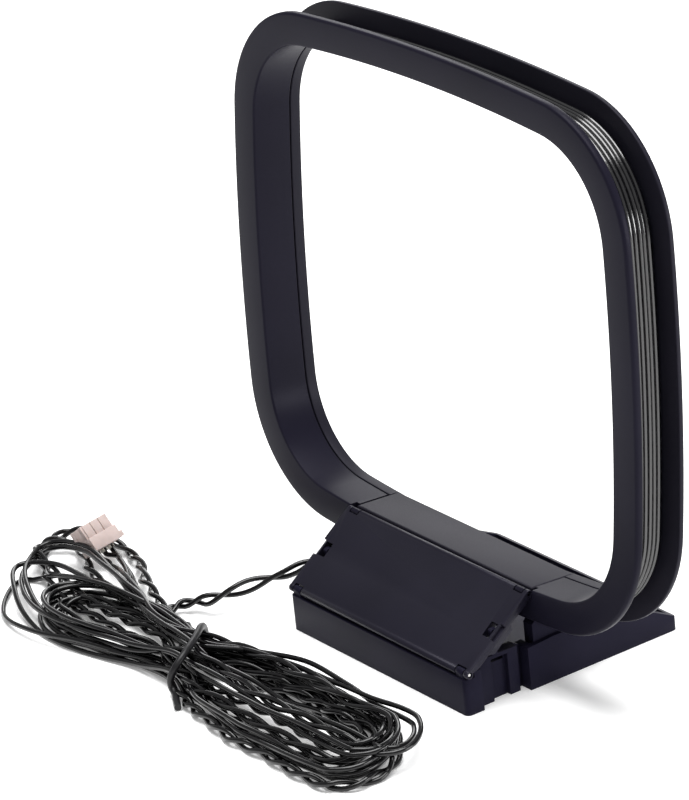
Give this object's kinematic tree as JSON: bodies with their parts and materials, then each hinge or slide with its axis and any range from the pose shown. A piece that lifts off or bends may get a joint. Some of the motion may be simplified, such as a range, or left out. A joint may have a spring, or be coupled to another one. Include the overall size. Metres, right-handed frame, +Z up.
{
  "type": "AM loop antenna",
  "caption": "Wound AM loop antenna on a folding two-hinge stand, with a twisted-pair lead tied in a hank that ends in a small crimp plug.",
  "frame": {"origin": "middle of the stand's footprint, on the underside of the base tray, cord left out", "axes": "+Z up, +X along the loop's width, +Y from the slanted front panel to the low rear of the tray"},
  "size_m": [0.183, 0.1053, 0.1405],
  "materials": {
    "satin_black_plastic": "satin",
    "panel_black_plastic": "satin",
    "loop_black_plastic": "satin",
    "rear_shell_black_plastic": "satin",
    "winding_insulation": "glossy",
    "winding_end_insulation": "glossy",
    "lead_insulation": "glossy",
    "inner_lead_insulation": "glossy",
    "hank_insulation": "glossy",
    "core_insulation": "glossy",
    "tie_coating": "matte",
    "hinge_pin_steel": "bright",
    "ridge_pin_steel": "bright",
    "plug_nylon": "satin",
    "contact_tinned_brass": "tinned"
  },
  "bodies": {
    "base": {"base_tray": "satin_black_plastic", "front_hinge_pin": "hinge_pin_steel", "lead_inner": "inner_lead_insulation", "lead_cord": "lead_insulation", "lead_hank": "hank_insulation", "cord_tie": "tie_coating", "plug_housing": "plug_nylon", "crimp_contact_1": "contact_tinned_brass", "crimp_contact_2": "contact_tinned_brass", "crimp_contact_3": "contact_tinned_brass", "lead_core_1": "core_insulation", "lead_core_2": "core_insulation", "lead_core_3": "core_insulation"},
    "panel": {"front_panel": "panel_black_plastic", "ridge_hinge_pin": "ridge_pin_steel"},
    "loop": {"loop_front_shell": "loop_black_plastic", "loop_rear_shell": "rear_shell_black_plastic", "loop_winding": "winding_insulation", "winding_end_1": "winding_end_insulation", "winding_end_2": "winding_end_insulation"}
  },
  "joints": [
    {"name": "front_hinge", "type": "hinge", "parent": "base", "child": "panel", "pos_m": [0, -0.0285, 0.00995], "axis": [1, 0, 0], "range_deg": [0, 35]},
    {"name": "ridge_hinge", "type": "hinge", "parent": "panel", "child": "loop", "pos_m": [0, -0.01055, 0.02322], "axis": [1, 0, 0], "range_deg": [0, 70]}
  ]
}
